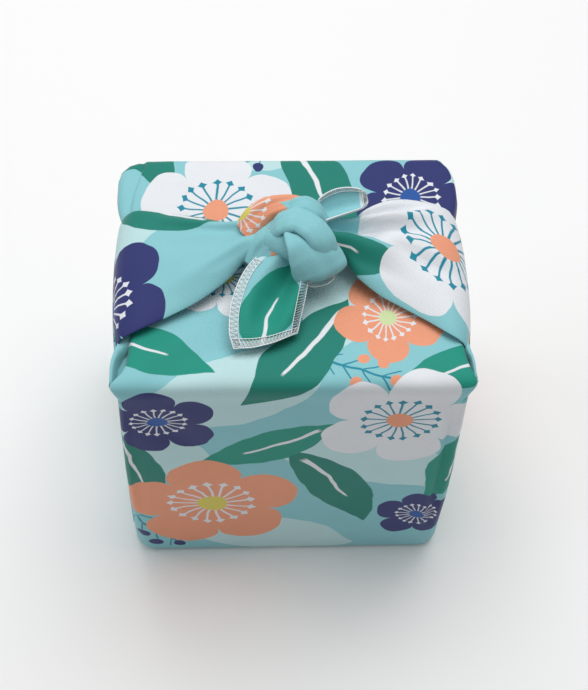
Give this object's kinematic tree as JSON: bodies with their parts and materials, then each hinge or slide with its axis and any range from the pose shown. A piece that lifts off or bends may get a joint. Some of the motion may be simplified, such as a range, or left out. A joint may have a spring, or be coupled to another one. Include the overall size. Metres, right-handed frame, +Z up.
{
  "type": "furoshiki wrap",
  "caption": "Square patterned cotton cloth folded round a box-shaped gift, its corners tied on top in a square knot with short tails.",
  "frame": {"origin": "on the floor under the middle of the wrap", "axes": "+Z up towards the knot, +X to the right and +Y to the back, seen from the side where the front tail hangs"},
  "size_m": [0.1632, 0.1308, 0.1948],
  "materials": {
    "printed_cotton": "printed cotton twill with a slight sheen"
  },
  "bodies": {
    "root": {"furoshiki_cloth": "printed_cotton"}
  },
  "joints": []
}
